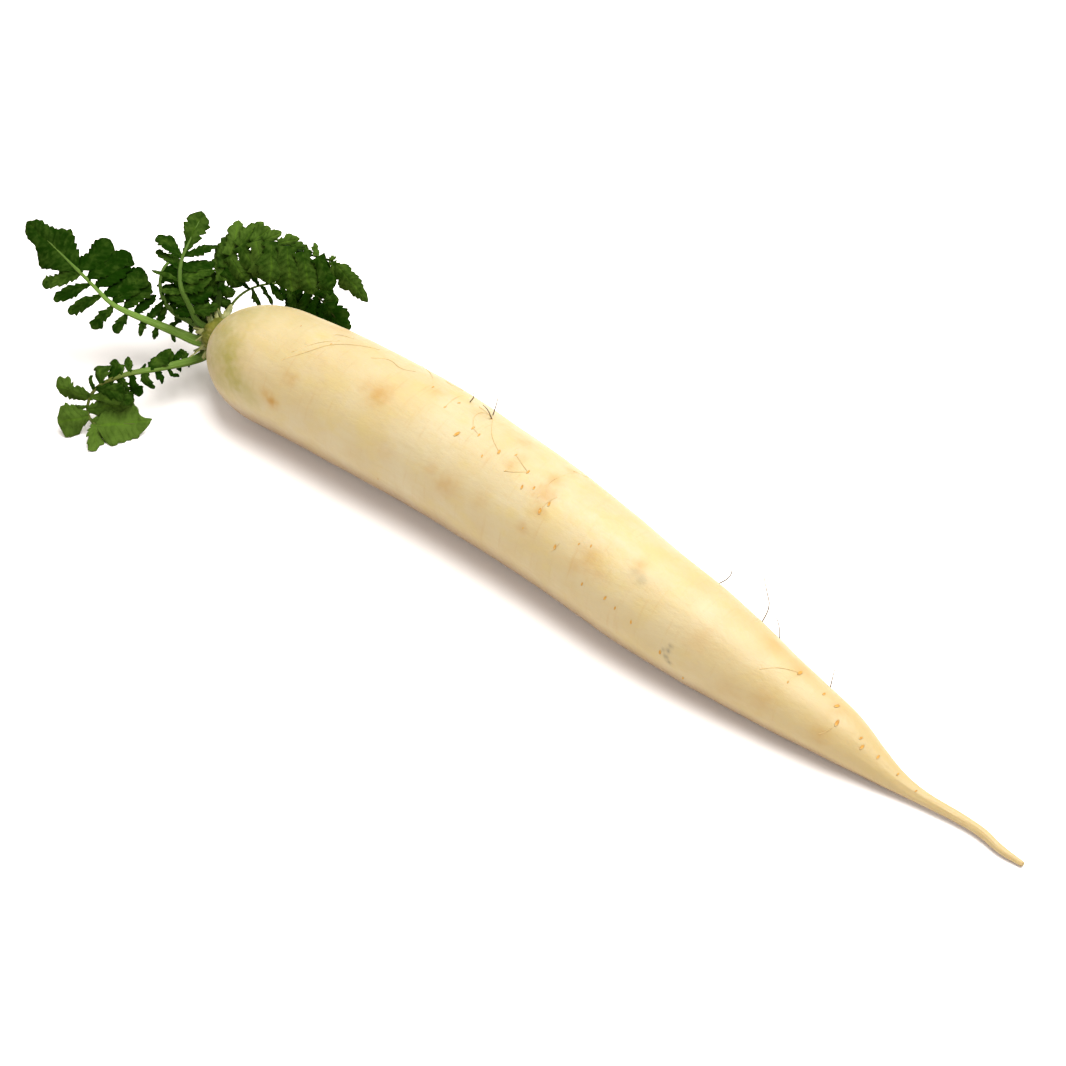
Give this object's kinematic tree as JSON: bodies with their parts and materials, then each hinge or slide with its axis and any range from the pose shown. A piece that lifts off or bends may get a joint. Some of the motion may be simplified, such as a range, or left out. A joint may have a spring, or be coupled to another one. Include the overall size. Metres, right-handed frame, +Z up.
{
  "type": "daikon radish",
  "caption": "Long white daikon radish lying on its side: a tapered taproot ending in a thin tail, with a short crown and six feathery, toothed green leaves at the other end.",
  "frame": {"origin": "centre of the flat spot on the belly that the root rests on, under its weight", "axes": "+X along the root from crown to tip, +Z up from the surface it lies on, +Y level across it"},
  "size_m": [0.5583, 0.1436, 0.0729],
  "materials": {
    "root_skin": "smooth satin skin, ivory with a green-yellow tinge at the crown",
    "crown_stem": "fibrous yellow-green stem",
    "leaf_green": "matt dark green leaf, paler ribs"
  },
  "bodies": {
    "root": {"root": "root_skin", "crown": "crown_stem", "leaf_a": "leaf_green", "leaf_b": "leaf_green", "leaf_c": "leaf_green", "leaf_d": "leaf_green", "leaf_e": "leaf_green", "leaf_f": "leaf_green"}
  },
  "joints": []
}
